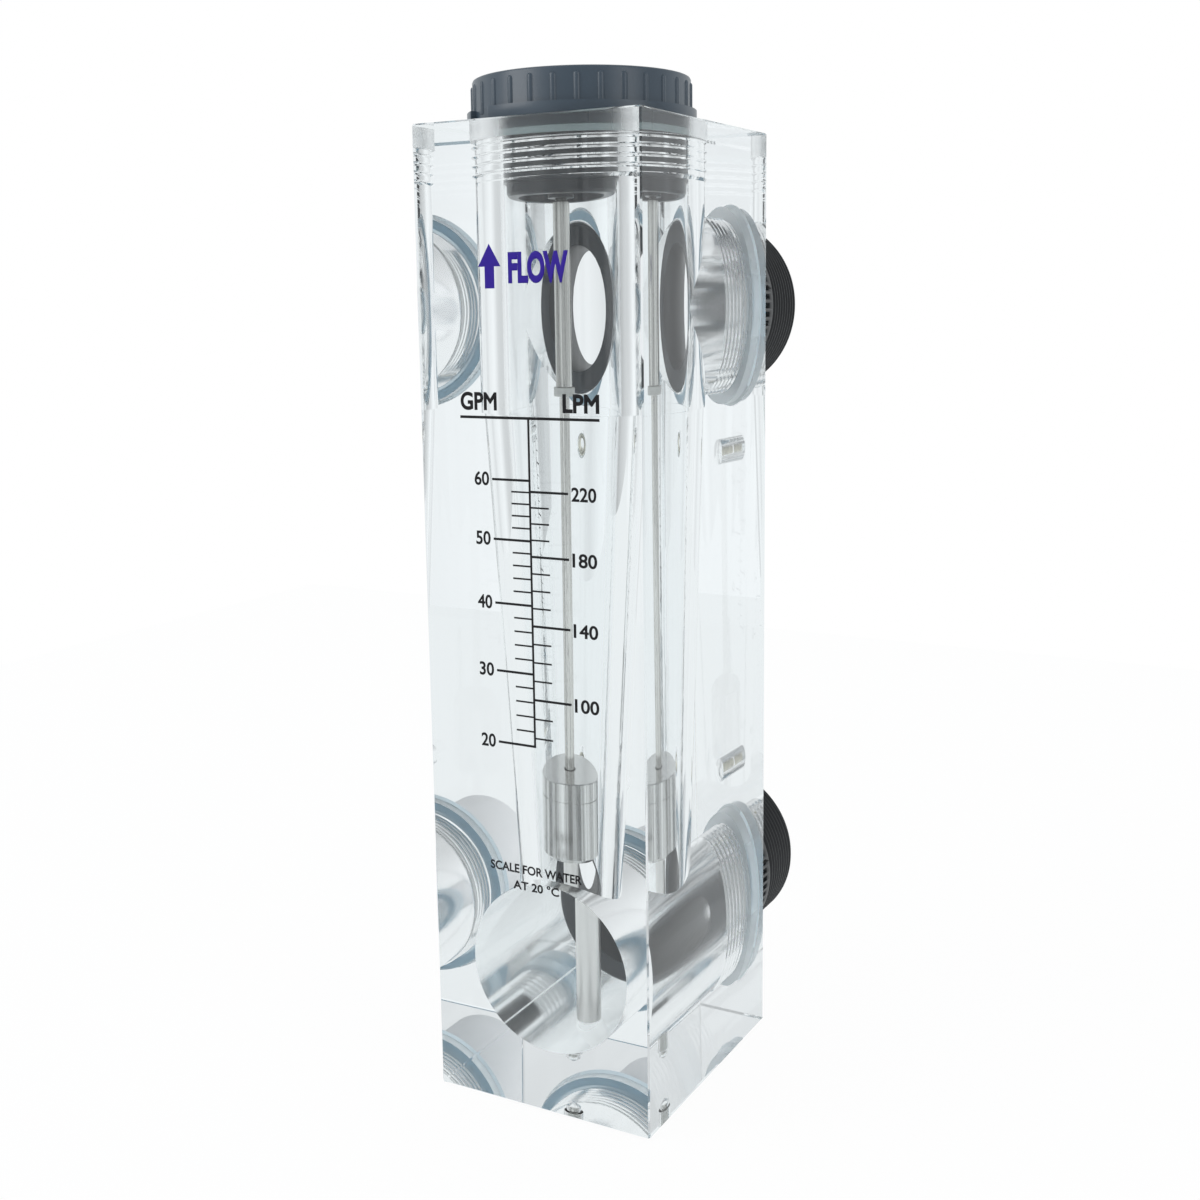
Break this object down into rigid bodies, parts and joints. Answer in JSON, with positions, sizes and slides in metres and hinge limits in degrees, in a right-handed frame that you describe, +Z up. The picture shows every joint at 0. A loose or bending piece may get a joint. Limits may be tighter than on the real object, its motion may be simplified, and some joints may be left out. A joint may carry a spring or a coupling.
{
  "type": "variable-area flow meter",
  "caption": "Clear block variable-area flow meter with a tapered bore, a rod-guided float, a screw cap and rear pipe connectors.",
  "frame": {"origin": "the point where the axis of the upright bore meets the underside of the block", "axes": "+Z up along the upright bore, +Y to the rear along the two ports, +X to the right as seen from the scale"},
  "size_m": [0.075, 0.1346, 0.313],
  "materials": {
    "clear_acrylic": "polished clear acrylic",
    "black_ink": "screen-printed ink",
    "black_plastic": "satin moulded plastic",
    "grey_pvc": "satin slate grey",
    "pale_silicone": "pale blue-grey silicone",
    "brass": "pale plated brass",
    "white_nylon": "natural nylon",
    "stainless_steel": "fine turned stainless steel"
  },
  "bodies": {
    "body": {"body_block": "clear_acrylic", "scale_marks": "black_ink", "upper_connector": "black_plastic", "lower_connector": "black_plastic", "upper_connector_seal": "pale_silicone", "lower_connector_seal": "pale_silicone", "upper_mount_insert": "brass", "lower_mount_insert": "brass", "rod_foot": "white_nylon"},
    "rod_set": {"guide_rod": "stainless_steel", "rod_washer": "stainless_steel", "upper_stop_tube": "stainless_steel", "lower_stop_tube": "stainless_steel", "upper_bumper": "white_nylon", "lower_bumper": "white_nylon"},
    "cap": {"top_cap": "grey_pvc", "cap_seal": "pale_silicone"},
    "float": {"float": "stainless_steel"}
  },
  "joints": [
    {"name": "cap_rise", "type": "slide", "parent": "body", "child": "rod_set", "axis": [0, 0, 1], "range_m": [0, 0.0136]},
    {"name": "cap_turn", "type": "hinge", "parent": "rod_set", "child": "cap", "pos_m": [0, 0, 0.3], "axis": [0, 0, 1], "range_deg": [0, 1800]},
    {"name": "float_slide", "type": "slide", "parent": "rod_set", "child": "float", "axis": [0, 0, 1], "range_m": [0, 0.118]}
  ],
  "couplings": [
    {"joint": "cap_rise", "follows": "cap_turn", "m_per_rad": 0.0004297}
  ]
}
